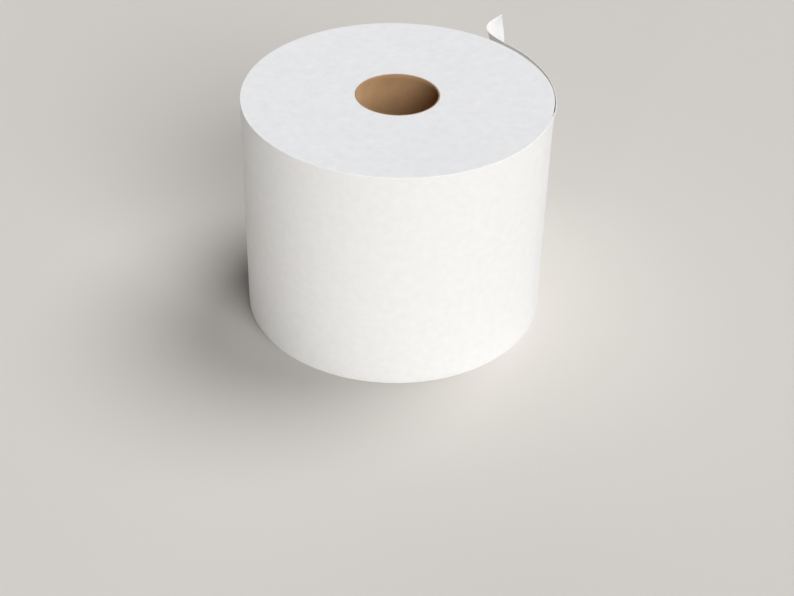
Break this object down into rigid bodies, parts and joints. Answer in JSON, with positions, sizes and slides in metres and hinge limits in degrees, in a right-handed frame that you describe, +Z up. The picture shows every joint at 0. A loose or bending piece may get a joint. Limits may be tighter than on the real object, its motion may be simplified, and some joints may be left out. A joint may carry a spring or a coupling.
{
  "type": "toilet paper roll",
  "caption": "Upright roll of soft white paper wound on a brown card core, with a loose end that lifts off the roll and curls outward; stands on its end or slides on a spindle.",
  "frame": {"origin": "on the core's axis, at the roll's lower end", "axes": "+Z up along the core's axis; +X towards the side where the loose end lifts off; +Y towards the side where it curls away"},
  "size_m": [0.1417, 0.1526, 0.11],
  "materials": {
    "white_paper": "matte",
    "kraft_card": "matte"
  },
  "bodies": {
    "root": {"core_tube": "kraft_card", "wound_paper": "white_paper"}
  },
  "joints": []
}
